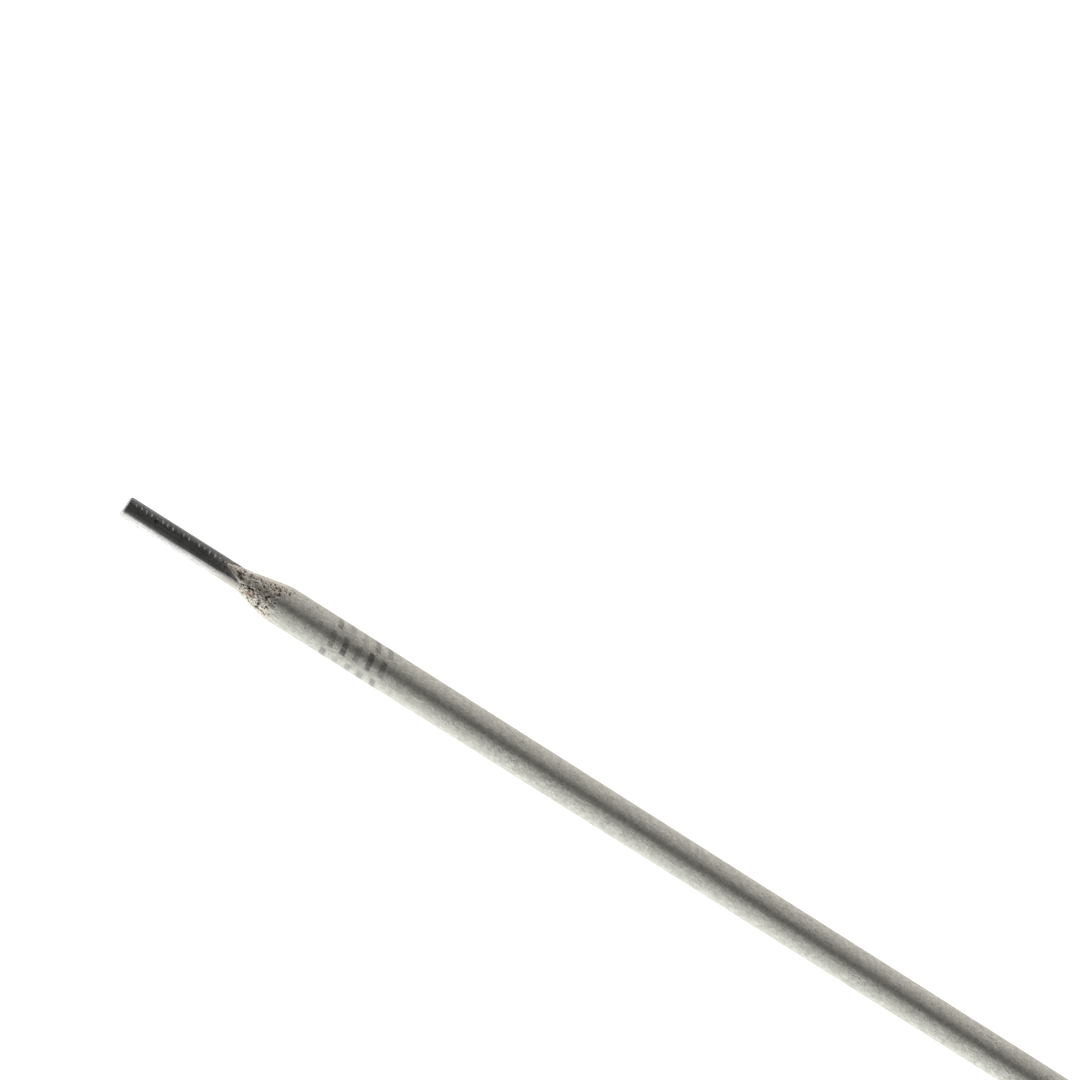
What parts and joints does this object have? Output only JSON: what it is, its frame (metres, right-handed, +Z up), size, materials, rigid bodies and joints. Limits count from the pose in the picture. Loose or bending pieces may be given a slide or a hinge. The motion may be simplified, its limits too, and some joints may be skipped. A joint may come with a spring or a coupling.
{
  "type": "welding electrode",
  "caption": "Straight steel core wire in a baked flux coating, bare at the grip end past a rough brushed taper and rounded to a nose at the striking end.",
  "frame": {"origin": "on the core wire's axis, at the middle of the cut face at the grip end", "axes": "+X along the rod to the striking end, +Z up with the line of roller marks and the faded ink on the upper side, +Y towards the side where the flux starts nearest the grip end"},
  "size_m": [0.35, 0.006, 0.0058],
  "materials": {
    "steel_wire": "drawn wire, brushed bright",
    "baked_flux": "matte, fine sandy mineral powder"
  },
  "bodies": {
    "root": {"core_wire": "steel_wire", "flux_coating": "baked_flux"}
  },
  "joints": []
}
